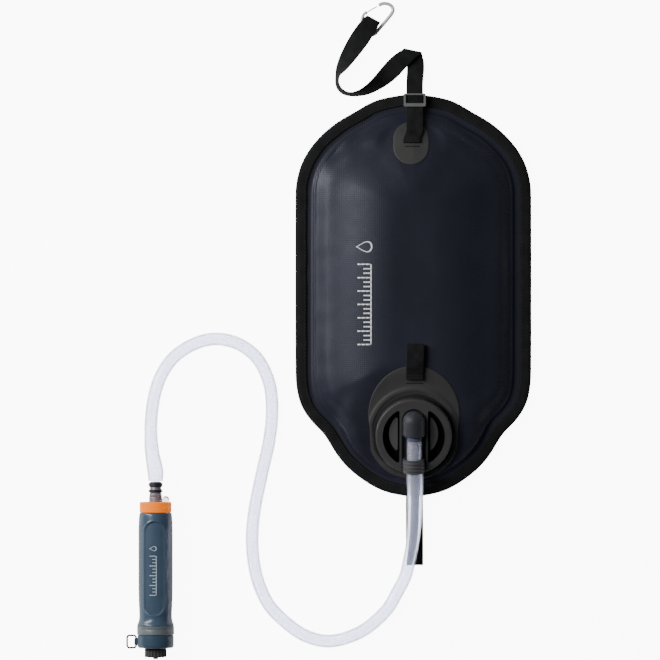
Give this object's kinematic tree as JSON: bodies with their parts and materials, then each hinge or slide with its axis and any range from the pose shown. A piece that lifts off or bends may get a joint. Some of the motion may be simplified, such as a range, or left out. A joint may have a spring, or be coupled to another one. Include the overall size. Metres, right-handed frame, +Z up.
{
  "type": "gravity water filter kit",
  "caption": "Soft reservoir bag with a bayonet fill cap, hang strap, slider and carabiner, and a clear hose to an inline hollow-fibre water filter.",
  "frame": {"origin": "on the table, on the back panel's flat underside, straight below the middle of the fill cap", "axes": "+Z up from the table, +Y from the fill cap to the hang strap along the bag, +X to the right seen from above"},
  "size_m": [0.4045, 0.6577, 0.0496],
  "materials": {
    "bag_fabric": "smooth coated fabric, satin",
    "binding_tape": "woven tape, matt",
    "patch_rubber": "matt, lightly grained",
    "webbing": "woven nylon, matt",
    "slider_plastic": "moulded, satin",
    "carabiner_aluminium": "polished",
    "neck_plastic": "moulded, satin",
    "cap_plastic": "moulded, satin",
    "elbow_plastic": "moulded, semi-gloss",
    "nut_plastic": "moulded",
    "seal_rubber": "matt",
    "retainer_rubber": "ribbed, satin",
    "hose_silicone": "clear, glossy",
    "filter_blue": "moulded, semi-gloss",
    "ring_grey": "moulded, semi-gloss",
    "collar_orange": "moulded, semi-gloss",
    "vent_silicone": "translucent",
    "nozzle_plastic": "moulded",
    "cup_blue": "moulded, semi-gloss",
    "sleeve_plastic": "moulded",
    "fibre_white": "bundled hollow fibres",
    "potting_resin": "cast resin",
    "plug_black": "fluted, matt"
  },
  "bodies": {
    "root": {"back_panel": "bag_fabric", "front_panel": "bag_fabric", "edge_binding": "binding_tape", "base_patch": "patch_rubber", "strap_patch": "patch_rubber", "neck_ring": "neck_plastic", "hang_strap": "webbing", "base_loop_tab": "webbing", "tail_strap": "webbing", "hose": "hose_silicone", "filter_body": "filter_blue", "body_ring": "ring_grey", "cartridge_sleeve": "sleeve_plastic", "fibre_bundle": "fibre_white", "potting_disc": "potting_resin", "inlet_screen": "sleeve_plastic", "inlet_nozzle": "nozzle_plastic", "nozzle_ring_front": "seal_rubber", "nozzle_ring_rear": "seal_rubber", "inlet_seal": "seal_rubber", "cup_seal": "seal_rubber"},
    "cap": {"fill_cap": "cap_plastic", "cap_gasket": "seal_rubber", "outlet_elbow": "elbow_plastic", "elbow_seal": "seal_rubber", "elbow_nut": "nut_plastic", "hose_retainer": "retainer_rubber"},
    "slider": {"strap_slider": "slider_plastic"},
    "carabiner": {"carabiner_frame": "carabiner_aluminium"},
    "gate": {"carabiner_gate": "carabiner_aluminium"},
    "collar": {"nozzle_collar": "collar_orange", "air_vent_plug": "vent_silicone"},
    "cup": {"bottom_cup": "cup_blue", "outlet_nipple": "nozzle_plastic"},
    "plug": {"outlet_plug": "plug_black", "plug_seal": "seal_rubber"},
    "loop": {"lanyard_loop": "nozzle_plastic"}
  },
  "joints": [
    {"name": "fill_cap_turn", "type": "hinge", "parent": "root", "child": "cap", "pos_m": [0, 0.0031, 0.018], "axis": [0, -0.2079, 0.9781], "range_deg": [0, 60], "deforming": ["hose"]},
    {"name": "slider_slide", "type": "slide", "parent": "root", "child": "slider", "axis": [0, 0.9715, -0.2368], "range_m": [-0.01, 0.008]},
    {"name": "carabiner_swing", "type": "hinge", "parent": "root", "child": "carabiner", "pos_m": [-0.043, 0.4026, 0.0036], "axis": [0.88, -0.475, 0], "range_deg": [0, 18]},
    {"name": "carabiner_gate_hinge", "type": "hinge", "parent": "carabiner", "child": "gate", "pos_m": [-0.0476, 0.4242, 0.0036], "axis": [0, 0, -1], "range_deg": [0, 30], "stiffness_Nm_per_rad": 0.02, "springref_deg": -11.46},
    {"name": "collar_turn", "type": "hinge", "parent": "root", "child": "collar", "pos_m": [-0.2578, -0.0705, 0.0187], "axis": [0, 1, 0], "range_deg": [0, 90]},
    {"name": "cup_turn", "type": "hinge", "parent": "root", "child": "cup", "pos_m": [-0.2578, -0.2045, 0.0187], "axis": [0, -1, 0], "range_deg": [0, 30]},
    {"name": "plug_pull", "type": "slide", "parent": "cup", "child": "plug", "axis": [0, -1, 0], "range_m": [0, 0.012]},
    {"name": "lanyard_swing", "type": "hinge", "parent": "cup", "child": "loop", "pos_m": [-0.2773, -0.2048, 0.0187], "axis": [0, 1, 0], "range_deg": [-60, 60]}
  ]
}
